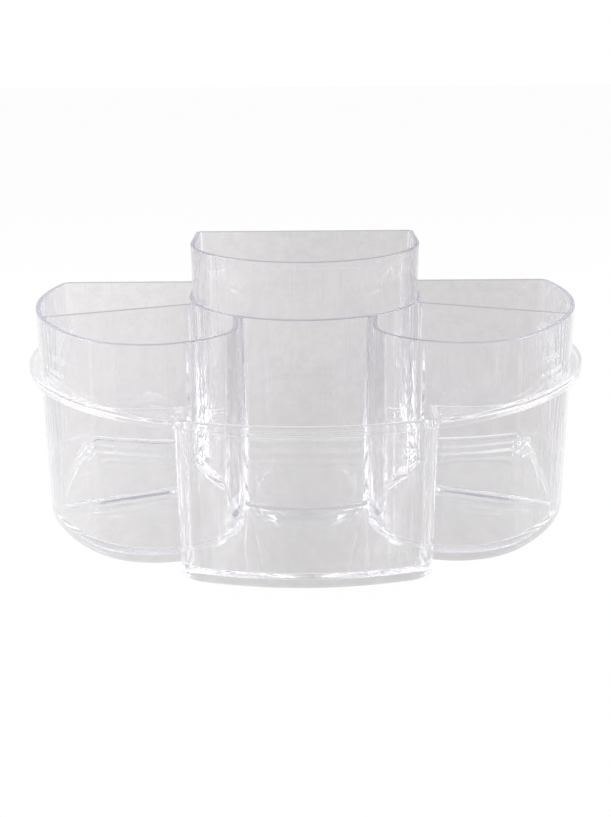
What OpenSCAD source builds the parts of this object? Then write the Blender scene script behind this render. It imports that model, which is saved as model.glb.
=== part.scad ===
// Stepped desk organizer, moulded in one clear plastic: a tall cup at the middle of a
// flat back, a divided cup on each side of it, a low bin in front and a ledge that runs
// round the side cups at the height of the bin's rim. The back is flat and the front bows
// out. Each moulded section is a solid of its own, and the sections meet face to face.
//
// x runs along the width, the back faces +y, and z = 0 is the table.

/* [Overall] */
// Width across the ledge
organizer_w = 240; // [224:1:272]
// Depth from the flat back to the front of the ledge
organizer_d = 141; // [134:1:156]

/* [Tall cup] */
// Height of the tall cup
tall_h = 111; // [98:1:140]
// Width of the tall cup; its front is a half circle of this width
tall_w = 101; // [90:1:110]
// Depth of the tall cup from the flat back
tall_d = 80; // [72:1:86]
// How far the wall steps in where it rises clear of the side cups
tall_step = 1.3; // [0.6:0.1:1.6]

/* [Side cups] */
// Height of the side cups
side_h = 88; // [74:0.5:94]
// Width of the ledge at its widest, beside a side cup
side_ledge = 4.9; // [4:0.1:8]
// How far the side cups stop short of the organizer's front
side_front = 24; // [20:0.5:30]
// Depth at which a side cup is widest
side_belly = 31; // [24:1:36]
// Radius of the long outer wall
side_outer_r = 109; // [104:1:124]
// Radius of the rounded front
side_nose_r = 36; // [32:1:42]
// Radius of the corner that turns in to the tall cup
side_turn_r = 27; // [20:1:30]
// Angle at which the rounded front passes into the corner
nose_end = 132; // [126:1:138]
// How far the wall steps in below the ledge
side_step = 0.3; // [0.2:0.1:0.7]
// Draft of the side cups' outside, in degrees
side_draft = 0.2; // [0.1:0.1:0.8]

/* [Dividers] */
// Thickness of a divider at its top edge
divider_t = 1.8; // [1.2:0.1:2.6]
// Depth from the back to the divider where it meets the tall cup
divider_inner_d = 49; // [42:1:54]
// Angle that a divider slants forward on its way outwards
divider_angle = 21; // [14:1:26]

/* [Front bin] */
// Height of the bin and of the ledge
bin_h = 63.5; // [50:0.5:68]
// Width of the bin
bin_w = 98; // [88:1:106]
// Radius of the bin's bowed front
bin_front_r = 135; // [115:5:175]
// Radius of the bin's front corners
bin_corner_r = 11; // [8:1:14]

/* [Ledge] */
// Depth at which the ledge is widest
ledge_belly = 30; // [24:1:36]
// How far the ledge stands out in front of the bin
ledge_front = 1.5; // [1:0.1:2]
// Least width of the ledge beside the side cups
ledge_least = 2.4; // [1.8:0.1:2.6]
// Thickness of the ledge
ledge_t = 2; // [1.4:0.1:2.6]
// Height of the lip that hangs from the ledge, with the ledge itself
lip_h = 4; // [3:0.5:6]
// Thickness of the lip
lip_t = 1.5; // [1:0.1:2]
// Radius of the ledge's corners at the back
ledge_corner_r = 4; // [2:0.5:6]
// How far the ledge stops short of the side cups' flat back
ledge_end = 0.5; // [0.2:0.1:1.5]

/* [Walls and floor] */
// Thickness of the walls at their rims
wall = 2; // [1.6:0.1:2.4]
// Thickness of the floors
floor_t = 2.4; // [1.8:0.1:3]
// Height of the foot rim that carries the floors
foot_h = 3; // [2.5:0.1:4]
// Width of the foot rim
foot_w = 3.2; // [2.8:0.1:4]
// Draft of the outside of the tall cup and the bin, in degrees
draft = 0.8; // [0.3:0.1:1]
// Draft of the inside, in degrees
core_draft = 0.6; // [0.4:0.1:1]
// Radius of the corners at the back
corner_r = 4; // [3:0.5:6]
// Radius of the same corners inside the cups
core_corner_r = 2.2; // [1.5:0.1:3]
// Radius between a wall and its floor
floor_r = 3; // [2:0.5:3.5]
// Radius of the outer bottom edge
base_r = 2; // [1:0.5:2.5]
// Bevel along the rims
rim_bevel = 0.4; // [0.2:0.1:0.6]

/* [Hidden] */

tint = [0.85, 0.87, 0.92, 0.4];    // clear plastic with a cold cast
arc_error = 0.04;                  // how far a facet may lie from its true arc
round_steps = 4;                   // facets in a floor fillet or a bottom edge
above = 5;                         // how far cutting shapes run past the part
channel_min = 1.4;                 // narrowest channel that the ledge's underside keeps
base_join = 1;                     // closes the notches between the sections' footprints
tall_r = tall_w / 2;
side_x = organizer_w / 2 - side_ledge;
bin_d = organizer_d - ledge_front;
floor_z = foot_h + floor_t;
lip_z = bin_h - lip_h;

// --- Outlines: points round a level, for the outline moved in by inset ---------------

function turn(a) = [cos(a), sin(a)];

// Points along an arc, close enough together for arc_error at its full radius
function arc(centre, r, from, to, inset = 0) =
    let (steps = ceil(abs(to - from) / (2 * acos(1 - arc_error / r))))
    [for (i = [0 : steps]) centre + (r - inset) * turn(from + (to - from) * i / steps)];

function back_corner_r(inset) = max(corner_r - inset, core_corner_r);

function mirrored(points) = [for (i = [len(points) - 1 : -1 : 0]) [-points[i].x, points[i].y]];

// Tall cup: flat back with rounded corners, straight sides and a half-round front
tall_front = function (inset) arc([0, tall_r - tall_d], tall_r, 0, -180, inset);
tall_outline = function (inset)
    let (
        r = back_corner_r(inset),
        corner = arc([tall_r - inset - r, -inset - r], r, 90, 0)
    )
    concat(corner, tall_front(inset), mirrored(corner));

// The same with square corners, for the stretch that stands between the side cups
tall_base_outline = function (inset)
    concat([[tall_r - inset, -inset]], tall_front(inset), [[inset - tall_r, -inset]]);

// Right side cup: rounded back corner, long outer wall, rounded front, then the corner
// that turns back to the tall cup. Its last two points lie in the tall cup, whose wall
// closes the side cup.
outer_c = [side_x - side_outer_r, -side_belly];
nose_d = organizer_d - side_front - side_nose_r;
nose_start = asin((nose_d - side_belly) / (side_outer_r - side_nose_r));
nose_c = outer_c + (side_outer_r - side_nose_r) * turn(-nose_start);
turn_c = nose_c + (side_nose_r - side_turn_r) * turn(-nose_end);
side_outline = function (inset)
    let (
        r = back_corner_r(inset),
        y = -inset - r,
        reach = side_outer_r - inset - r,
        x = outer_c.x + sqrt(reach * reach - (y - outer_c.y) * (y - outer_c.y)),
        meet = atan2(y - outer_c.y, x - outer_c.x)
    )
    concat(
        arc([x, y], r, 90, meet),
        arc(outer_c, side_outer_r, meet, -nose_start, inset),
        arc(nose_c, side_nose_r, -nose_start, -nose_end, inset),
        arc(turn_c, side_turn_r, -nose_end, -180, inset),
        [[turn_c.x - side_turn_r + inset, -tall_d / 2], [tall_r - inset, -inset]]
    );

// Front bin: bowed front, rounded corners and straight sides that run back past the
// side cups' fronts and into the tall cup
bin_c = [0, bin_front_r - bin_d];
bin_corner_x = bin_w / 2 - bin_corner_r;
bin_corner_reach = bin_front_r - bin_corner_r;
bin_corner_c = [
    bin_corner_x,
    bin_c.y - sqrt(bin_corner_reach * bin_corner_reach - bin_corner_x * bin_corner_x)
];
bin_meet = atan2(bin_corner_c.y - bin_c.y, bin_corner_c.x);
bin_outline = function (inset)
    let (side = concat(
        [[bin_w / 2 - inset, -tall_d / 2]],
        arc(bin_corner_c, bin_corner_r, 0, bin_meet, inset)
    ))
    concat(side, arc(bin_c, bin_front_r, bin_meet, -180 - bin_meet, inset), mirrored(side));

// --- Levels: [height, inset] pairs that a loft passes through ------------------------

function taper(height, angle = draft) = height * tan(angle);

// Rounded edge that rises from a floor or from the table into a wall
function rise(z, r, inset) =
    [for (i = [0 : round_steps])
        let (a = 90 * i / round_steps)
        [z + r * (1 - cos(a)), inset + r * (1 - sin(a))]];

function foot(top) = rise(0, base_r, taper(top - base_r));

function bevelled(top, inset, angle = draft) =
    [[top - rim_bevel, inset + taper(rim_bevel, angle)], [top, inset + rim_bevel]];

// Inside of a cup, from its floor out through its rim
function pocket(top, start = 0) = concat(
    rise(floor_z, floor_r, start + wall + taper(top - floor_z - floor_r, core_draft)),
    [
        [top - rim_bevel, start + wall],
        [top, start + wall - rim_bevel],
        [top + above, start + wall - rim_bevel]
    ]
);

// Stacked slices between one level and the next
module loft(levels, outline)
    for (i = [0 : len(levels) - 2])
        if (levels[i + 1][0] > levels[i][0]) {
            points = [
                for (level = [levels[i], levels[i + 1]])
                for (p = outline(level[1])) [p.x, p.y, level[0]]
            ];
            hull() polyhedron(points, [[for (k = [0 : len(points) - 1]) k]]);
        }

// --- Sections as whole blocks, which the pieces are cut from and fitted to -----------

tall_inset = tall_step - taper(tall_h - side_h);
module tall_block() {
    loft(concat(foot(side_h), [[side_h, 0]]), tall_base_outline);
    loft(concat([[side_h, tall_step]], bevelled(tall_h, tall_inset)), tall_outline);
}

// The walls of the side cups and of the bin are plumb where the ledge joins them
ledge_seat = taper(side_h - bin_h, side_draft);
module side_block() loft(
    concat(
        rise(0, base_r, side_step + ledge_seat + taper(lip_z - base_r, side_draft)),
        [[lip_z, side_step + ledge_seat], [bin_h, side_step + ledge_seat], [bin_h, ledge_seat]],
        bevelled(side_h, 0, side_draft)
    ),
    side_outline
);

module side_blocks() {
    side_block();
    mirror([1, 0, 0]) side_block();
}

module bin_block() loft(concat(foot(lip_z), [[lip_z, 0], [bin_h, 0]]), bin_outline);

module side_pocket() loft(pocket(side_h), side_outline);

// Outline of the whole base on the table
module base_outline() {
    side = side_outline(side_step + ledge_seat + taper(lip_z, side_draft));
    polygon(tall_base_outline(taper(side_h)));
    polygon(side);
    mirror([1, 0]) polygon(side);
    polygon(bin_outline(taper(lip_z)));
}

// One hollow under all the floors, which leaves a foot rim round the base
module underside() translate([0, 0, -above])
    linear_extrude(above + foot_h)
        offset(delta = -foot_w - base_join) offset(delta = base_join) base_outline();

// Footprints of the walls that the ledge joins, moved in by inset
module side_footprints(inset = 0) {
    side = side_outline(side_step + ledge_seat + inset);
    polygon(side);
    mirror([1, 0]) polygon(side);
}

module footprints(inset) {
    side_footprints(inset);
    polygon(bin_outline(inset));
}

// Ledge: plate and lip on an oval that is cut off just short of the side cups' back
module ledge_oval() {
    oval = [organizer_w / 2, organizer_d - ledge_belly];
    translate([0, -ledge_belly]) scale([1, oval.y / oval.x]) circle(oval.x, $fn = 120);
}

module ledge_outline() {
    back = side_step + ledge_seat + ledge_end;
    offset(r = ledge_corner_r, $fn = 48)
        offset(delta = -ledge_corner_r)
            intersection() {
                union() {
                    ledge_oval();
                    offset(r = ledge_least, $fn = 48) side_footprints();
                }
                translate([-organizer_w, -organizer_w - back])
                    square([2 * organizer_w, organizer_w]);
            }
}

// Channel under the ledge, between its lip and the walls, where there is room for one
module channel_outline() {
    offset(r = channel_min / 2, $fn = 24)
        offset(r = -channel_min / 2, $fn = 24)
            difference() {
                offset(delta = -lip_t) ledge_outline();
                footprints(channel_min / 2);
            }
}

module ledge_block() difference() {
    translate([0, 0, bin_h - lip_h]) linear_extrude(lip_h) ledge_outline();
    translate([0, 0, bin_h - lip_h - above])
        linear_extrude(lip_h - ledge_t + above) channel_outline();
    tall_block();
    side_blocks();
    bin_block();
}

// --- Pieces --------------------------------------------------------------------------

// Puts the origin at the middle of the base
module placed() color(tint) translate([0, organizer_d / 2, 0]) children();

module tall_cup() placed() difference() {
    tall_block();
    loft(pocket(tall_h, tall_inset), tall_outline);
    underside();
}

module side_cup() difference() {
    side_block();
    side_pocket();
    underside();
    tall_block();
}

module left_cup() placed() mirror([1, 0, 0]) side_cup();

module right_cup() placed() side_cup();

// Divider: a plate between the tall cup and the outer wall, thicker at its foot
module divider() difference() {
    intersection() {
        side_pocket();
        translate([tall_r, -divider_inner_d, floor_z]) rotate([0, 0, -divider_angle])
            hull() {
                foot_t = divider_t + 2 * taper(side_h - floor_z);
                translate([-tall_r, -foot_t / 2, 0]) cube([organizer_w, foot_t, floor_t]);
                translate([-tall_r, -divider_t / 2, 0])
                    cube([organizer_w, divider_t, side_h - floor_z]);
            }
    }
    tall_block();
}

module left_divider() placed() mirror([1, 0, 0]) divider();

module right_divider() placed() divider();

// Front bin, with the stretch of the ledge that is its rolled rim
module front_bin() placed() {
    difference() {
        bin_block();
        loft(pocket(bin_h), bin_outline);
        underside();
        tall_block();
        side_blocks();
    }
    intersection() {
        ledge_block();
        translate([-bin_w / 2, -organizer_d - above, 0]) cube([bin_w, organizer_d, organizer_d]);
    }
}

module side_ledge() intersection() {
    ledge_block();
    translate([bin_w / 2, -organizer_d - above, 0])
        cube([organizer_w, organizer_d + 2 * above, organizer_d]);
}

module left_ledge() placed() mirror([1, 0, 0]) side_ledge();

module right_ledge() placed() side_ledge();

tall_cup();
left_cup();
right_cup();
left_divider();
right_divider();
front_bin();
left_ledge();
right_ledge();
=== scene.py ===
import math

import bmesh
import bpy
from mathutils import Euler, Matrix, Vector
from mathutils.geometry import delaunay_2d_cdt


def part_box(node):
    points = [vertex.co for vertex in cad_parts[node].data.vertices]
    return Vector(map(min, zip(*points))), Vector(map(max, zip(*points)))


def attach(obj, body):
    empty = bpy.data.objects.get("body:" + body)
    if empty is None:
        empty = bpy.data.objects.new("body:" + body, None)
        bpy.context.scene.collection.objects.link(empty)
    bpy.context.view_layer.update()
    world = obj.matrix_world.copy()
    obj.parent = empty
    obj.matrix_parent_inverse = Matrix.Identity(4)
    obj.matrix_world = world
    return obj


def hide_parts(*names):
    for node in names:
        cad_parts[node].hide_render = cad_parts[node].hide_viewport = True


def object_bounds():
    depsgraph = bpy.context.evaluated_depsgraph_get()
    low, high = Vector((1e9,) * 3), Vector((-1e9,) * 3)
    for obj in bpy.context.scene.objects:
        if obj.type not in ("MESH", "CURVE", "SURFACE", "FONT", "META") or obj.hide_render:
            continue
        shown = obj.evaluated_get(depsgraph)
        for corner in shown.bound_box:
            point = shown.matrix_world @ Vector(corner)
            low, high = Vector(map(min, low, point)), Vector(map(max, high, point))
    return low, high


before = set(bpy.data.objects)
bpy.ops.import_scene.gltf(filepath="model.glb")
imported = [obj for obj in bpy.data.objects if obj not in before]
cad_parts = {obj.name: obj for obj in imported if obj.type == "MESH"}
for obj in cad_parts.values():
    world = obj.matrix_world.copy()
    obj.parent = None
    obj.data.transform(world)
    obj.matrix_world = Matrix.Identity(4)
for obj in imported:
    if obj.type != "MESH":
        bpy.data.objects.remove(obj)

MM = 0.001

# --- Sizes that come from the frame, in millimetres ------------------------------------

cad_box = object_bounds()
low, high = cad_box


def node_box(name):
    """Lowest and highest corner of a CAD node, in millimetres."""
    return [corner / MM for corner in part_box(name)]


tall_low, tall_high = node_box("tall_cup")
side_high = node_box("right_cup")[1]
ledge_low, ledge_high = node_box("right_ledge")
divider_low, divider_high = node_box("right_divider")

WIDTH = (high.x - low.x) / MM
BACK_Y = high.y / MM
DEPTH = BACK_Y - low.y / MM
TALL_H = tall_high.z
TALL_R = tall_high.x
TALL_D = tall_high.y - tall_low.y
SIDE_H = side_high.z
SIDE_X = side_high.x
BIN_H = ledge_high.z
BIN_X = ledge_low.x
LIP_Z = ledge_low.z

# --- The moulding's own sizes, in millimetres and degrees ------------------------------

# Tall cup: its step above the side cups, how far its upper stretch reaches down into
# them, and its back corners outside and inside
TALL_STEP = 1.3
TALL_REACH = 2
TALL_CORNER_R = 2.6
TALL_CORE_R = 1.2

# Side cups: where they are widest, how far they stop short of the front, the radii of
# their three arcs and the angles at which nose and turn end
SIDE_BELLY = 31
SIDE_FRONT = 24
SIDE_OUTER_R = 109
SIDE_NOSE_R = 36
SIDE_TURN_R = 27
NOSE_END = 132
TURN_END = 184

# Their back corners outside and inside, and how much wider both get towards the base
CORNER_R = 4
CORE_CORNER_R = 2.5
CORNER_GROW = 5

# Dividers: thickness at the rim, depth where they meet the tall cup, and slant
DIVIDER_T = 1.8
DIVIDER_INNER_D = 49
DIVIDER_ANGLE = 21

# Front bin: bowed front, front corners, the corners where its space meets the side cups,
# and where its block ends inside the cups
BIN_FRONT_R = 135
BIN_CORNER_R = 11
BIN_INNER_R = 3.5
BIN_BACK = -60

# Ledge: where it is widest, how far it stands out in front of the bin and stops short of
# the back, its thickness, back corners and rounded edges, and the lip that hangs from it
LEDGE_BELLY = 30
LEDGE_FRONT = 0.4
LEDGE_END = 1.3
LEDGE_T = 2
LEDGE_CORNER_R = 4
LEDGE_EDGE = 0.6
LIP_T = 1.5

# Walls, floors and the foot rim round the hollow underside, and the hollow's corners at
# the back and where bin and side cup meet
WALL = 2
FLOOR_T = 2.4
FOOT_H = 3
FOOT_W = 3.2
FLOOR_Z = FOOT_H + FLOOR_T
BASE_CORNER_R = 7
BASE_NOTCH_R = 2.2

# Drafts: outside, inside, where cups and dividers share a wall, and how the side cups'
# outer walls lean outside and inside
DRAFT = 0.8
CORE_DRAFT = 0.6
SHARED_DRAFT = 0.55
SIDE_LEAN = 0.3
CORE_LEAN = 0.4

# Roundings: between two walls, where a side cup meets the tall cup's front, along floors,
# the base edge, rims and the foot rim. The dividers and the bin's rear walls take a share.
WEB_R = 1.6
CUSP_R = 2.4
FLOOR_R = 0.8
BASE_R = 0.8
RIM_R = 0.35
FOOT_R = 0.5
DIVIDER_SHARE = 0.5
BIN_SHARE = 0.9

# How far the bin's space is set into the cups' walls, so that no skin is left there, and
# how far cutting blocks run past the moulding
HAIR = 0.03
ABOVE = 4

# Facets along each stretch of an outline
CORNER_STEPS = 6
TALL_STEPS = 144
TALL_REAR_STEPS = 24
TALL_SIDE_STEPS = 40
OUTER_STEPS = 80
NOSE_STEPS = 60
TURN_STEPS = 36
BIN_STEPS = 100
LEDGE_STEPS = 150
LEDGE_CORNER_STEPS = 8
SHORT_STEPS = 2
BACK_STEPS = 4
WIDE_BACK_STEPS = 8
DIVIDER_STEPS = 4

# Facets in a rounding, seen in section
EDGE_STEPS = 6
FILLET_STEPS = 8
SMALL_EDGE_STEPS = 4

# --- Plan outlines ---------------------------------------------------------------------
# Plan coordinates: the back plane is y = 0 and the front is towards -y. An outline runs
# anticlockwise as a list of walls, each with the space that it bounds on its left.


def turn(degrees):
    """Unit vector at an angle from +x."""
    return Vector((math.cos(math.radians(degrees)), math.sin(math.radians(degrees))))


def rise_of(height, degrees):
    """How far a wall leans over a height."""
    return height * math.tan(math.radians(degrees))


class Flat:
    """Straight wall through point, along direction. Like a Round, it can be moved into
    the space on its left, turned to bound the other side, or mirrored across x = 0."""

    def __init__(self, point, direction, steps):
        self.point = Vector(point)
        self.direction = Vector(direction).normalized()
        self.steps = steps

    def moved(self, inset):
        side = Vector((-self.direction.y, self.direction.x))
        return Flat(self.point + inset * side, self.direction, self.steps)

    def turned(self):
        return Flat(self.point, -self.direction, self.steps)

    def mirrored(self):
        direction = (self.direction.x, -self.direction.y)
        return Flat((-self.point.x, self.point.y), direction, self.steps)

    def nearest(self, point):
        return self.point + (point - self.point).dot(self.direction) * self.direction

    def between(self, start, end):
        return [start.lerp(end, i / self.steps) for i in range(self.steps + 1)]


class Round:
    """Round wall about centre. spin is 1 where the space is inside it and -1 outside."""

    def __init__(self, centre, radius, steps, spin=1):
        self.centre = Vector(centre)
        self.radius = radius
        self.steps = steps
        self.spin = spin

    def moved(self, inset):
        return Round(self.centre, self.radius - self.spin * inset, self.steps, self.spin)

    def turned(self):
        return Round(self.centre, self.radius, self.steps, -self.spin)

    def mirrored(self):
        return Round((-self.centre.x, self.centre.y), self.radius, self.steps, self.spin)

    def nearest(self, point):
        return self.centre + (point - self.centre).normalized() * self.radius

    def between(self, start, end):
        first = math.atan2(*reversed(start - self.centre))
        swept = math.atan2(*reversed(end - self.centre)) - first
        swept = self.spin * (self.spin * swept % math.tau)
        angles = [first + swept * i / self.steps for i in range(self.steps + 1)]
        return [self.centre + self.radius * turn(math.degrees(a)) for a in angles]


class Wall:
    """A wall of an outline and how it meets the next one.

    corner is the radius there: None passes on smoothly and below 0 is a hollow corner.
    near is a point by that corner. A free wall has a rim, and the others go on upward.
    share is the part that the wall takes in the rounding at floor and rim, and grow is
    how much wider its corner gets with the rounding.
    """

    def __init__(self, form, corner=None, near=None, free=True, share=1.0, grow=0.0):
        self.form = form
        self.corner = corner
        self.near = near
        self.free = free
        self.share = share
        self.grow = grow

    def mirrored(self, before):
        """The wall on the other side, with the corner of the one before it here."""
        near = before.near and (-before.near[0], before.near[1])
        form = self.form.mirrored()
        return Wall(form, before.corner, near, self.free, self.share, before.grow)


def crossings(first, second):
    """Points where two walls, taken as endless lines or full circles, cross."""
    if isinstance(first, Flat) and isinstance(second, Flat):
        normal = Vector((-second.direction.y, second.direction.x))
        along = (second.point - first.point).dot(normal) / first.direction.dot(normal)
        return [first.point + along * first.direction]
    if isinstance(first, Flat):
        foot = first.nearest(second.centre)
        rest = second.radius**2 - (foot - second.centre).length_squared
        reach = math.sqrt(max(rest, 0)) * first.direction
        return [foot + reach, foot - reach]
    if isinstance(second, Flat):
        return crossings(second, first)
    gap = second.centre - first.centre
    along = (gap.length_squared + first.radius**2 - second.radius**2) / (2 * gap.length)
    reach = math.sqrt(max(first.radius**2 - along**2, 0))
    across = Vector((-gap.y, gap.x)).normalized()
    foot = first.centre + along * gap.normalized()
    return [foot + reach * across, foot - reach * across]


def smooth_joint(first, second):
    """The point where one wall passes into the next without a corner."""
    if isinstance(first, Flat):
        return first.nearest(second.centre)
    if isinstance(second, Flat):
        return second.nearest(first.centre)
    line = (second.centre - first.centre).normalized()
    ends = [first.centre + side * first.radius * line for side in (1, -1)]
    return min(ends, key=lambda p: abs((p - second.centre).length - second.radius))


def outline(walls, inset=0.0):
    """Points of a closed outline, moved in by inset. Only free walls move out."""
    forms = [w.form.moved(w.share * (inset if w.free else max(inset, 0))) for w in walls]
    joints = []
    for i, wall in enumerate(walls):
        first, second = forms[i], forms[(i + 1) % len(walls)]
        if wall.corner is None:
            joints.append([smooth_joint(first, second)])
            continue
        corner = wall.corner + wall.grow * max(inset, 0)
        hub = min(
            crossings(first.moved(corner), second.moved(corner)),
            key=lambda p: (p - Vector(wall.near)).length,
        )
        bend = Round(hub, abs(corner), CORNER_STEPS, 1 if corner > 0 else -1)
        joints.append(bend.between(first.nearest(hub), second.nearest(hub)))
    points = []
    for i, form in enumerate(forms):
        points += form.between(joints[i - 1][-1], joints[i][0])[1:]
        points += joints[i][1:]
    return points


def both_sides(front, right, back):
    """Closed outline of a front wall, the walls on the right, their mirror and a back wall."""
    left = [wall.mirrored(before) for before, wall in zip([front, *right], right)]
    last = right[-1]
    near = last.near and (-last.near[0], last.near[1])
    rear = Wall(back.form, last.corner, near, back.free, back.share, last.grow)
    return [front, *right, rear, *reversed(left)]


def on_left(space):
    """The same outline on the other side of the object."""

    def other_side(z):
        walls = space(z)
        return [walls[i].mirrored(walls[i - 1]) for i in reversed(range(len(walls)))]

    return other_side


# --- Walls of the moulding at a height z -----------------------------------------------

TALL_C = Vector((0, TALL_R - TALL_D))
OUTER_C = Vector((SIDE_X - SIDE_OUTER_R, -SIDE_BELLY))
NOSE_D = DEPTH - SIDE_FRONT - SIDE_NOSE_R
NOSE_START = math.degrees(math.asin((NOSE_D - SIDE_BELLY) / (SIDE_OUTER_R - SIDE_NOSE_R)))
NOSE_C = OUTER_C + (SIDE_OUTER_R - SIDE_NOSE_R) * turn(-NOSE_START)
TURN_C = NOSE_C + (SIDE_NOSE_R - SIDE_TURN_R) * turn(-NOSE_END)
INNER_AT = TURN_C + SIDE_TURN_R * turn(-TURN_END)
INNER_ALONG = turn(-TURN_END - 90)
BIN_C = Vector((0, BIN_FRONT_R - (DEPTH - LEDGE_FRONT)))

# Points by the corners where two walls meet
CUSP = (INNER_AT.x, TALL_C.y - math.sqrt(TALL_R**2 - INNER_AT.x**2))
BACK_CORNER = (SIDE_X, 0)
TALL_BACK_CORNER = (TALL_R, 0)
DIVIDER_OUT = (divider_high.x, divider_low.y - BACK_Y)
DIVIDER_IN = (divider_low.x, -DIVIDER_INNER_D)
BIN_CORNER = (BIN_X, BIN_CORNER_R - DEPTH)
NOSE_FOOT = (BIN_X, NOSE_C.y - math.sqrt(SIDE_NOSE_R**2 - (BIN_X - NOSE_C.x) ** 2))


def side_wall(x, inset, forward=False):
    """Straight wall at x on the right, which runs to the back or forward."""
    return Flat((x, 0), (0, -1 if forward else 1), SHORT_STEPS).moved(inset)


def back_wall(inset, steps=BACK_STEPS):
    """Straight wall along the back."""
    return Flat((0, 0), (-1, 0), steps).moved(inset)


def side_forms(z, inset=0.0, draft=0.0, lean=SIDE_LEAN):
    """Inner, turn, nose and outer wall of the right cup. Its outer wall leans in as it
    goes down, and its front goes with it."""
    deep = SIDE_H - z
    inset += rise_of(deep, draft)
    slide = -rise_of(deep, lean) * turn(-NOSE_START)
    inner = Flat(INNER_AT + slide, -INNER_ALONG, SHORT_STEPS)
    bend = Round(TURN_C + slide, SIDE_TURN_R, TURN_STEPS)
    nose = Round(NOSE_C + slide, SIDE_NOSE_R, NOSE_STEPS)
    outer = Round(OUTER_C, SIDE_OUTER_R - rise_of(deep, lean), OUTER_STEPS)
    return [form.moved(inset) for form in (inner, bend, nose, outer)]


def tall_front(z, steps=TALL_STEPS):
    """Round outside of the tall cup, which widens as it goes down."""
    return Round(TALL_C, TALL_R + rise_of(SIDE_H - z, SHARED_DRAFT), steps)


def bin_front(inset):
    """Bowed front of the bin."""
    return Round(BIN_C, BIN_FRONT_R, BIN_STEPS).moved(inset)


def back_corner(radius, z):
    """Radius of a side cup's back corner, which gets wider on the way down."""
    return radius + CORNER_GROW * (SIDE_H - z) / SIDE_H


def divider_face(z, side):
    """The rear (1) or front (-1) face of the right divider."""
    along = turn(-DIVIDER_ANGLE)
    across = Vector((-along.y, along.x))
    half = DIVIDER_T / 2 + rise_of(SIDE_H - z, SHARED_DRAFT)
    start = Vector((TALL_R, -DIVIDER_INNER_D)) + side * half * across
    return Flat(start, side * along, DIVIDER_STEPS)


def cups_outside(z):
    """Side cups and tall cup together."""
    inner, bend, nose, outer = side_forms(z)
    right = [
        Wall(inner),
        Wall(bend),
        Wall(nose),
        Wall(outer, back_corner(CORNER_R, z), BACK_CORNER),
    ]
    back = Wall(back_wall(rise_of(SIDE_H - z, DRAFT), WIDE_BACK_STEPS))
    return both_sides(Wall(tall_front(z), -CUSP_R, CUSP), right, back)


def tall_walls(inset, corner, grow=0.0):
    """Tall cup above the side cups. Its back goes straight up, without the step."""
    front = Wall(Round(TALL_C, TALL_R, TALL_STEPS).moved(inset))
    right = [Wall(side_wall(TALL_R, inset), corner, TALL_BACK_CORNER, grow=grow)]
    return both_sides(front, right, Wall(back_wall(inset - TALL_STEP)))


def tall_outside(z):
    """Tall cup above the side cups, stepped in."""
    return tall_walls(TALL_STEP + rise_of(TALL_H - z, DRAFT), TALL_CORNER_R)


def tall_inside(z):
    """Space of the tall cup."""
    return tall_walls(TALL_STEP + WALL + rise_of(TALL_H - z, CORE_DRAFT), TALL_CORE_R, 1)


def bin_outside(z):
    """Front bin, back to inside the cups."""
    inset = rise_of(max(LIP_Z - z, 0), DRAFT)
    right = [Wall(side_wall(BIN_X, inset), CORNER_R, (BIN_X, BIN_BACK))]
    front = Wall(bin_front(inset), BIN_CORNER_R, BIN_CORNER)
    return both_sides(front, right, Wall(back_wall(-BIN_BACK)))


def bin_inside(z):
    """Space of the front bin, with its walls on the cups set a hair into them."""
    inset = WALL + rise_of(BIN_H - z, CORE_DRAFT)
    inner, bend, nose, _ = [form.moved(HAIR).turned() for form in side_forms(z)]
    right = [
        Wall(side_wall(BIN_X, inset), BIN_INNER_R, NOSE_FOOT),
        Wall(nose, free=False, share=BIN_SHARE),
        Wall(bend, free=False, share=BIN_SHARE),
        Wall(inner, CUSP_R, CUSP, free=False, share=BIN_SHARE),
    ]
    front = Wall(bin_front(inset), BIN_CORNER_R - WALL, BIN_CORNER)
    back = Wall(tall_front(z).moved(HAIR).turned(), free=False, share=BIN_SHARE)
    return both_sides(front, right, back)


def rear_space(z):
    """Space behind the right divider."""
    outer = side_forms(z, WALL, CORE_DRAFT, CORE_LEAN)[3]
    side = side_wall(TALL_R, rise_of(SIDE_H - z, SHARED_DRAFT), forward=True)
    return [
        Wall(divider_face(z, 1), WEB_R, DIVIDER_OUT, share=DIVIDER_SHARE),
        Wall(outer, back_corner(CORE_CORNER_R, z), BACK_CORNER, grow=1),
        Wall(back_wall(WALL + rise_of(SIDE_H - z, CORE_DRAFT)), WEB_R, TALL_BACK_CORNER),
        Wall(side),
        Wall(tall_front(z, TALL_REAR_STEPS).turned(), WEB_R, DIVIDER_IN),
    ]


def front_space(z):
    """Space in front of the right divider."""
    inner, bend, nose, outer = side_forms(z, WALL, CORE_DRAFT, CORE_LEAN)
    return [
        Wall(divider_face(z, -1), WEB_R, DIVIDER_IN, share=DIVIDER_SHARE),
        Wall(tall_front(z, TALL_SIDE_STEPS).turned(), CUSP_R, CUSP),
        Wall(inner),
        Wall(bend),
        Wall(nose),
        Wall(outer, WEB_R, DIVIDER_OUT),
    ]


def base_hollow():
    """Hollow under the floors, inside the foot rim."""
    _, _, nose, outer = side_forms(0, FOOT_W)
    inset = FOOT_W + rise_of(LIP_Z, DRAFT)
    right = [
        Wall(side_wall(BIN_X, inset), -BASE_NOTCH_R, NOSE_FOOT),
        Wall(nose),
        Wall(outer, BASE_CORNER_R, BACK_CORNER),
    ]
    front = Wall(bin_front(inset), BIN_CORNER_R - FOOT_W, BIN_CORNER)
    back = Wall(back_wall(FOOT_W + rise_of(SIDE_H, DRAFT), WIDE_BACK_STEPS))
    return both_sides(front, right, back)


# --- Solids from outlines --------------------------------------------------------------

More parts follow.
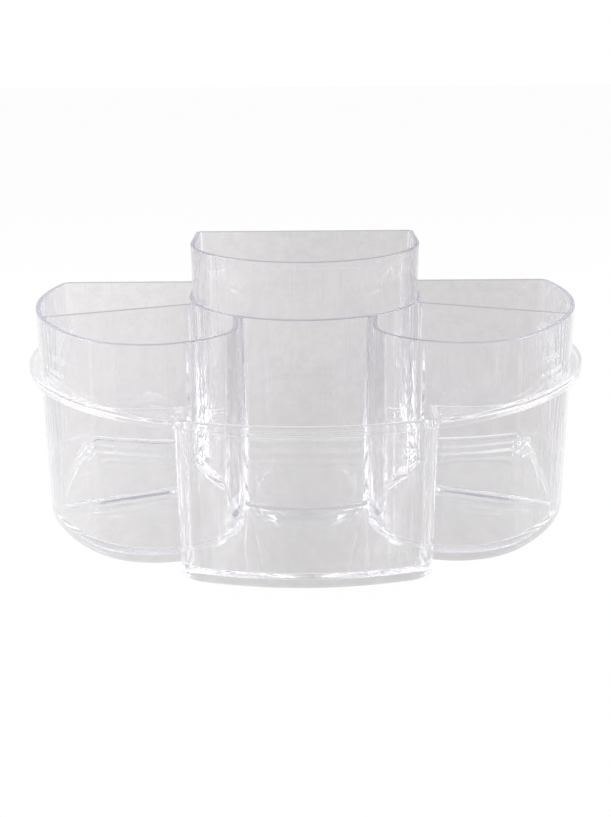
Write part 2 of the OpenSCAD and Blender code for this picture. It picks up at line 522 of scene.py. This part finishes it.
INSIDE = 1           # fills only what the outline encloses
CLOSE = 1e-9         # points of an outline closer than this are one, in metres
WELD = 1e-8          # corners of a mesh closer than this are one, in metres
SHARP_ANGLE = 35     # edges that turn by more than this stay sharp, in degrees


def cap(points):
    """Triangles that fill a closed outline, as places in its list of points."""
    filled = delaunay_2d_cdt(points, [], [list(range(len(points)))], INSIDE, CLOSE)
    triangles, sources = filled[2], filled[3]
    return [[sources[i][0] for i in triangle] for triangle in triangles]


def block(name, rings):
    """Closed mesh object through rings, each (height, points), in millimetres."""
    shape = bmesh.new()
    rows = [
        [shape.verts.new(Vector((p.x, p.y + BACK_Y, z)) * MM) for p in points]
        for z, points in rings
    ]
    for under, over in zip(rows, rows[1:]):
        for i in range(len(under)):
            shape.faces.new((under[i - 1], under[i], over[i], over[i - 1]))
    for row, order in ((rows[0], -1), (rows[-1], 1)):
        for triangle in cap([v.co.to_2d() for v in row]):
            shape.faces.new([row[i] for i in triangle[::order]])
    bmesh.ops.remove_doubles(shape, verts=shape.verts, dist=WELD)
    mesh = bpy.data.meshes.new(name)
    shape.to_mesh(mesh)
    shape.free()
    made = bpy.data.objects.new(name, mesh)
    bpy.context.scene.collection.objects.link(made)
    return made


def rounding(steps):
    """(rise, inset) pairs of a quarter circle of radius 1, from its foot to its wall."""
    angles = [math.radians(90 * i / steps) for i in range(steps + 1)]
    return [(1 - math.cos(a), 1 - math.sin(a)) for a in angles]


def base_rings(space):
    """Rings of the rounded edge that the moulding has at its base."""
    rings = []
    for up, inset in rounding(EDGE_STEPS):
        z = BASE_R * up
        rings.append((z, outline(space(z), BASE_R * inset)))
    return rings


def rim_rings(space, top, way):
    """Rings of half a rounded rim, which closes (1) or opens (-1) towards its top."""
    rings = []
    for down, inset in reversed(rounding(EDGE_STEPS)):
        z = top - RIM_R * down
        rings.append((z, outline(space(z), way * RIM_R * inset)))
    return rings


def inside_rings(space, top):
    """Rings of an inside: floor fillet, walls, and a rim that opens out."""
    rings = []
    for up, inset in rounding(FILLET_STEPS):
        z = FLOOR_Z + FLOOR_R * up
        rings.append((z, outline(space(z), FLOOR_R * inset)))
    rings += rim_rings(space, top, -1)
    rings.append((top + ABOVE, outline(space(top), -RIM_R)))
    return rings


def hollow_rings():
    """Rings of the hollow under the floors."""
    rings = [(-ABOVE, outline(base_hollow()))]
    for down, inset in reversed(rounding(SMALL_EDGE_STEPS)):
        rings.append((FOOT_H - FOOT_R * down, outline(base_hollow(), FOOT_R * inset)))
    return rings


def ledge_points(inset=0.0):
    """Outline of the ledge: an oval with rounded corners, cut off short of the back."""
    radius = LEDGE_CORNER_R
    across, along = WIDTH / 2 - radius, DEPTH - LEDGE_BELLY - radius
    back = -LEDGE_END - radius
    end = math.degrees(math.asin((back + LEDGE_BELLY) / along))
    half = []
    for i in range(LEDGE_STEPS + 1):
        angle = -90 + (90 + end) * i / LEDGE_STEPS
        centre = Vector((across * turn(angle).x, along * turn(angle).y - LEDGE_BELLY))
        normal = Vector((along * turn(angle).x, across * turn(angle).y)).normalized()
        half.append(centre + (radius - inset) * normal)
    lean = math.degrees(math.atan2(normal.y, normal.x))
    for i in range(1, LEDGE_CORNER_STEPS + 1):
        angle = lean + (90 - lean) * i / LEDGE_CORNER_STEPS
        half.append(centre + (radius - inset) * turn(angle))
    return half + [Vector((-p.x, p.y)) for p in reversed(half[1:])]


def ledge_rings(bottom, top, inset):
    """Rings of a plate on the ledge's outline, with rounded edges."""
    rings = []
    for up, share in rounding(SMALL_EDGE_STEPS):
        rings.append((bottom + LEDGE_EDGE * up, ledge_points(inset + LEDGE_EDGE * share)))
    for down, share in reversed(rounding(SMALL_EDGE_STEPS)):
        rings.append((top - LEDGE_EDGE * down, ledge_points(inset + LEDGE_EDGE * share)))
    return rings


def combine(base, operation, *others):
    """base joined to the others, or cut by them. The others are removed."""
    for other in others:
        step = base.modifiers.new(operation.lower(), "BOOLEAN")
        step.operation = operation
        step.solver = "MANIFOLD"
        step.object = other
    graph = bpy.context.evaluated_depsgraph_get()
    mesh = bpy.data.meshes.new_from_object(base.evaluated_get(graph))
    base.modifiers.clear()
    base.data = mesh
    for other in others:
        bpy.data.objects.remove(other)
    return base


def make_ledge():
    """The ledge: a plate with a lip that hangs from its edge."""
    plate = block("plate", ledge_rings(LIP_Z, BIN_H, 0))
    channel = block("channel", ledge_rings(LIP_Z - ABOVE, BIN_H - LEDGE_T, LIP_T))
    return combine(plate, "DIFFERENCE", channel)


def make_bin():
    """The front bin with the ledge on it, open from above."""
    lip_level = [(LIP_Z, outline(bin_outside(LIP_Z)))]
    rings = base_rings(bin_outside) + lip_level + rim_rings(bin_outside, BIN_H, 1)
    front = block("front", rings)
    combine(front, "UNION", make_ledge())
    return combine(front, "DIFFERENCE", block("bin_inside", inside_rings(bin_inside, BIN_H)))


def make_tall_block():
    """The tall cup above the side cups, still solid."""
    start = SIDE_H - TALL_REACH
    start_level = [(start, outline(tall_outside(start)))]
    return block("tall", start_level + rim_rings(tall_outside, TALL_H, 1))


def make_insides():
    """The spaces of the cups and the hollow under the floors."""
    insides = [
        block("tall_inside", inside_rings(tall_inside, TALL_H)),
        block("base_hollow", hollow_rings()),
    ]
    for space in (rear_space, front_space, on_left(rear_space), on_left(front_space)):
        insides.append(block("side_inside", inside_rings(space, SIDE_H)))
    return insides


def make_moulding():
    """The whole moulding as one closed mesh."""
    front = make_bin()
    cups = block("cups", base_rings(cups_outside) + rim_rings(cups_outside, SIDE_H, 1))
    combine(cups, "UNION", front, make_tall_block())
    combine(cups, "DIFFERENCE", *make_insides())
    cups.name = "clear_moulding"
    cups.data.name = "clear_moulding"
    cups.data.materials.clear()
    cups.data.shade_smooth()
    cups.data.set_sharp_from_angle(angle=math.radians(SHARP_ANGLE))
    return cups


# --- Materials -------------------------------------------------------------------------

WHITE = (1, 1, 1, 1)
PLASTIC_IOR = 1.57                   # of polystyrene
PLASTIC_BODY = (0.6, 0.58, 0.66, 1)  # light that the body lets through, a little cold
PLASTIC_DENSITY = 4                  # how strongly it takes away the rest
PLASTIC_SHADE = (0.97, 0.97, 0.975, 1)  # lamplight that one face lets through
# painted shade on the rims: darker than clear, in the plastic's own cool hue
RIM_PAINTED_SHADE = (0.52, 0.51, 0.62, 1)
RIM_ROUGHNESS = 0.35
RIM_HEIGHTS = ((BIN_H + 2) * MM, (BIN_H + 3) * MM)  # rims get painted shade from there up
LEVEL = (0.2, 0.7)                   # how far up a face looks where it counts as level
UPRIGHT = (0.3, 0.1)                 # and how little where it counts as upright
WAVE_DEPTH = 0.00015                 # in metres
WAVES = {"stretch": (1, 1, 0.25), "scale": 28, "detail": 1}
LINE_DEPTH = 0.25                    # of the flow lines, next to the waves
LINES = {"stretch": (1, 1, 0.02), "scale": 60, "detail": 0}
LINE_EDGE = (0.6, 0.62)              # a line is where its noise is higher than this

PAPER = (0.7, 0.7, 0.7, 1)
PAPER_WHITE = 1.03
WHITE_SHARE = 0.9                    # the rest of the white is lit paper
GREY_SHARE = 0.95                    # and so is the rest of the grey
# Greys of the paper as (place, brightness) from left to right, and how far to each side
# of the object they run, in metres
# the greys get lighter towards the sides as painted reflection of the side softboxes
GREYS_WITH_PAINTED_SIDE_LIGHT = [(0.0, 0.98), (0.25, 0.88), (0.5, 0.67), (0.68, 0.65), (0.85, 0.74), (1.0, 0.82)]
GREY_TINT = (1, 0.975, 0.985)
GREY_SPAN = 0.35
PAINTED_SHADOW_GREY = 0.93                    # painted shadow: brightness in front, next to that behind
PAINTED_SHADOW_FADE = (-0.05, 0.2)         # where the painted shadow fades out, in metres
MOTTLE = {"stretch": (1, 0.4, 1), "scale": 120, "detail": 6, "roughness": 0.85}
MOTTLE_RANGE = (0.76, 1.24)


class Nodes:
    """Shader nodes of a material or of the world. An input is a value, or the output of
    another node that feeds it."""

    def __init__(self, owner):
        owner.use_nodes = True
        self.tree = owner.node_tree
        self.tree.nodes.clear()

    def feed(self, node, inputs):
        """Set a node's inputs. Gives its outputs, as add does."""
        for name, value in inputs.items():
            if isinstance(value, bpy.types.NodeSocket):
                self.tree.links.new(value, node.inputs[name])
            else:
                node.inputs[name].default_value = value
        return node.outputs

    def add(self, kind, inputs=None):
        """New node with its inputs set."""
        return self.feed(self.tree.nodes.new(kind), inputs or {})

    def maths(self, operation, *values):
        """Result of an operation on numbers."""
        node = self.tree.nodes.new("ShaderNodeMath")
        node.operation = operation
        return self.feed(node, dict(enumerate(values)))["Value"]

    def slope(self, value, start, end, first=0.0, last=1.0):
        """first up to start, last from end on, and even between them."""
        span = {"From Min": start, "From Max": end, "To Min": first, "To Max": last}
        return self.add("ShaderNodeMapRange", {"Value": value, **span})["Result"]

    def noise(self, place, stretch, scale, detail, roughness=0.5):
        """Uneven pattern, drawn out along an axis where stretch is below 1."""
        place = self.add("ShaderNodeMapping", {"Vector": place, "Scale": stretch})["Vector"]
        inputs = {"Vector": place, "Scale": scale, "Detail": detail, "Roughness": roughness}
        return self.add("ShaderNodeTexNoise", inputs)["Fac"]

    def axes(self, vector):
        """The X, Y and Z of a vector."""
        return self.add("ShaderNodeSeparateXYZ", {"Vector": vector})

    def blend(self, share, first, second):
        """Colour between two colours."""
        node = self.tree.nodes.new("ShaderNodeMix")
        node.data_type = "RGBA"
        return self.feed(node, {"Factor": share, "A": first, "B": second})["Result"]

    def mix(self, share, first, second):
        """Shader between two shaders."""
        return self.add("ShaderNodeMixShader", {0: share, 1: first, 2: second})["Shader"]


def rim_mask(nodes, place, upward):
    """1 on faces that look up above the ledge, which are the rims, and 0 elsewhere. It places
    the rims' painted shade and their matter finish.
    """
    level = nodes.slope(upward, *LEVEL)
    high_up = nodes.slope(nodes.axes(place)["Z"], *RIM_HEIGHTS)
    return nodes.maths("MULTIPLY", level, high_up)


def uneven_faces(nodes, place, upward):
    """Normal of gently wavy faces, with fine flow lines down the walls."""
    depth = nodes.slope(nodes.maths("ABSOLUTE", upward), *UPRIGHT, last=LINE_DEPTH)
    lines = nodes.slope(nodes.noise(place, **LINES), *LINE_EDGE)
    height = nodes.maths("MULTIPLY_ADD", lines, depth, nodes.noise(place, **WAVES))
    inputs = {"Strength": 1, "Distance": WAVE_DEPTH, "Height": height}
    return nodes.add("ShaderNodeBump", inputs)["Normal"]


def clear_plastic():
    """Clear moulded polystyrene, matter along its rims, with painted shade on them in a cool
    hue. Lamplight passes it with little loss, so that its shadow is faint."""
    material = bpy.data.materials.new("clear_plastic")
    nodes = Nodes(material)
    place = nodes.add("ShaderNodeTexCoord")["Object"]
    facing = nodes.add("ShaderNodeNewGeometry")["True Normal"]
    upward = nodes.axes(facing)["Z"]
    rim = rim_mask(nodes, place, upward)
    plastic = nodes.add("ShaderNodeBsdfPrincipled", {
        # painted shade darkens the rims
        "Base Color": nodes.blend(rim, WHITE, RIM_PAINTED_SHADE),
        "Roughness": nodes.slope(rim, 0, 1, last=RIM_ROUGHNESS),
        "IOR": PLASTIC_IOR,
        "Transmission Weight": 1,
        "Normal": uneven_faces(nodes, place, upward),
    })["BSDF"]
    shade = nodes.add("ShaderNodeBsdfTransparent", {"Color": PLASTIC_SHADE})["BSDF"]
    shadow_ray = nodes.add("ShaderNodeLightPath")["Is Shadow Ray"]
    body = {"Color": PLASTIC_BODY, "Density": PLASTIC_DENSITY}
    nodes.add("ShaderNodeOutputMaterial", {
        "Surface": nodes.mix(shadow_ray, plastic, shade),
        "Volume": nodes.add("ShaderNodeVolumeAbsorption", body)["Volume"],
    })
    return material


def paper_greys_with_painted_side_light(nodes, across):
    """Light grey of the paper, which changes from left to right: lighter towards the sides as
    painted reflection of the side softboxes.
    """
    node = nodes.tree.nodes.new("ShaderNodeValToRGB")
    stops = node.color_ramp.elements
    stops[0].position = GREYS_WITH_PAINTED_SIDE_LIGHT[0][0]
    stops[1].position = GREYS_WITH_PAINTED_SIDE_LIGHT[-1][0]
    for position, _ in GREYS_WITH_PAINTED_SIDE_LIGHT[1:-1]:
        stops.new(position)
    for stop, (_, grey) in zip(stops, GREYS_WITH_PAINTED_SIDE_LIGHT):
        stop.color = (*(grey * share for share in GREY_TINT), 1)
    return nodes.feed(node, {"Fac": nodes.slope(across, -GREY_SPAN, GREY_SPAN)})["Color"]


def paper_strength(nodes, place, back):
    """Brightness of that grey: a little less in front as a painted shadow of the object, with
    a fine mottle.
    """
    # painted shadow of the object, darker in front
    near = nodes.slope(back, *PAINTED_SHADOW_FADE, first=PAINTED_SHADOW_GREY)
    mottle = nodes.slope(nodes.noise(place, **MOTTLE), 0, 1, *MOTTLE_RANGE)
    return nodes.maths("MULTIPLY", near, mottle)


def pale_paper():
    """Pale paper: white by itself and in reflections, and light grey through the plastic.
    A small share of plain paper in both keeps the object's shadow. The grey carries painted
    light towards the sides and a painted shadow in front."""
    material = bpy.data.materials.new("pale_paper")
    nodes = Nodes(material)
    place = nodes.add("ShaderNodeTexCoord")["Object"]
    axes = nodes.axes(place)
    paper = nodes.add("ShaderNodeBsdfDiffuse", {"Color": PAPER})["BSDF"]
    white = nodes.add("ShaderNodeEmission", {"Strength": PAPER_WHITE})["Emission"]
    grey = nodes.add("ShaderNodeEmission", {
        "Color": paper_greys_with_painted_side_light(nodes, axes["X"]),
        "Strength": paper_strength(nodes, place, axes["Y"]),
    })["Emission"]
    path = nodes.add("ShaderNodeLightPath")
    reflected = nodes.maths("SUBTRACT", path["Is Glossy Ray"], path["Is Transmission Ray"])
    by_itself = nodes.maths("MAXIMUM", path["Is Camera Ray"], reflected)
    shown_grey = nodes.mix(GREY_SHARE, paper, grey)
    shown_white = nodes.mix(WHITE_SHARE, paper, white)
    through = nodes.mix(path["Is Diffuse Ray"], shown_grey, paper)
    seen = nodes.mix(by_itself, through, shown_white)
    nodes.add("ShaderNodeOutputMaterial", {"Surface": seen})
    return material


# --- Stage, light and camera, in metres ------------------------------------------------

FLOOR_REACH = 4.0
ROOM_DIM = 0.72                   # brightness of the room ahead, behind and above
ROOM_BRIGHT = 1.45                # and at the sides
ROOM_DUSK = (0.42, 0.42, 0.52, 1)  # what is left of it in front
ROOM_FRONT = (0.1, -0.2)          # where the front begins, as y of a direction
SOFTBOX_X = 0.75
SOFTBOX_Z = 0.35
SOFTBOX_AIM = (0, 0, 0.05)
SOFTBOX_SIZE = (0.5, 0.7)
CAMERA_X = -0.0002
CAMERA_DISTANCE = 0.5446          # from the object's back
CAMERA_HEIGHT = 0.1984
CAMERA_PITCH = 17.56
CAMERA_ROLL = -0.41
LENS = 52.88
SENSOR = 36
LIGHT_BOUNCES = 300               # light is led through the walls by many reflections


def make_floor():
    """Large sheet of paper that the object stands on."""
    reach = FLOOR_REACH
    corners = [(-reach, -reach, 0), (reach, -reach, 0), (reach, reach, 0), (-reach, reach, 0)]
    mesh = bpy.data.meshes.new("floor")
    mesh.from_pydata(corners, [], [(0, 1, 2, 3)])
    mesh.materials.append(pale_paper())
    floor = bpy.data.objects.new("floor", mesh)
    bpy.context.scene.collection.objects.link(floor)


def make_world():
    """White to the camera. The object gets a room that is bright at the sides and dim in
    front, which gives its walls light flanks and thin dark lines."""
    world = bpy.data.worlds.new("studio")
    bpy.context.scene.world = world
    nodes = Nodes(world)
    way = nodes.axes(nodes.add("ShaderNodeTexCoord")["Generated"])
    sideways = nodes.maths("ABSOLUTE", way["X"])
    in_front = nodes.slope(way["Y"], *ROOM_FRONT)
    room = nodes.add("ShaderNodeBackground", {
        "Color": nodes.blend(in_front, WHITE, ROOM_DUSK),
        "Strength": nodes.slope(sideways, 0, 1, ROOM_DIM, ROOM_BRIGHT),
    })["Background"]
    white = nodes.add("ShaderNodeBackground", {"Color": WHITE})["Background"]
    camera_ray = nodes.add("ShaderNodeLightPath")["Is Camera Ray"]
    nodes.add("ShaderNodeOutputWorld", {"Surface": nodes.mix(camera_ray, room, white)})


def make_softbox(name, side, power):
    """Lamp on the left (-1) or right (1) that points at the object."""
    lamp = bpy.data.lights.new(name, "AREA")
    lamp.shape = "RECTANGLE"
    lamp.size, lamp.size_y = SOFTBOX_SIZE
    lamp.energy = power
    made = bpy.data.objects.new(name, lamp)
    made.location = (side * SOFTBOX_X, 0, SOFTBOX_Z)
    made.rotation_mode = "QUATERNION"
    made.rotation_quaternion = (Vector(SOFTBOX_AIM) - made.location).to_track_quat("-Z", "Y")
    bpy.context.scene.collection.objects.link(made)


def make_camera():
    """Camera in front of the middle of the object, a little above it, looking down."""
    camera = bpy.data.objects.new("camera", bpy.data.cameras.new("camera"))
    camera.data.sensor_width = SENSOR
    camera.data.lens = LENS
    camera.location = (CAMERA_X, high.y - CAMERA_DISTANCE, CAMERA_HEIGHT)
    tilt = Euler((math.pi / 2 - math.radians(CAMERA_PITCH), 0, 0)).to_matrix()
    roll = Matrix.Rotation(math.radians(CAMERA_ROLL), 3, "Z")
    camera.rotation_euler = (tilt @ roll).to_euler()
    bpy.context.scene.collection.objects.link(camera)
    bpy.context.scene.camera = camera


make_camera()
make_floor()
make_world()
make_softbox("left_softbox", side=-1, power=4)
make_softbox("right_softbox", side=1, power=3.3)
bpy.context.scene.view_settings.view_transform = "Standard"
bpy.context.scene.cycles.max_bounces = LIGHT_BOUNCES
bpy.context.scene.cycles.transmission_bounces = LIGHT_BOUNCES
bpy.context.scene.cycles.glossy_bounces = LIGHT_BOUNCES

moulding = make_moulding()
moulding.data.materials.append(clear_plastic())
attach(moulding, "root")
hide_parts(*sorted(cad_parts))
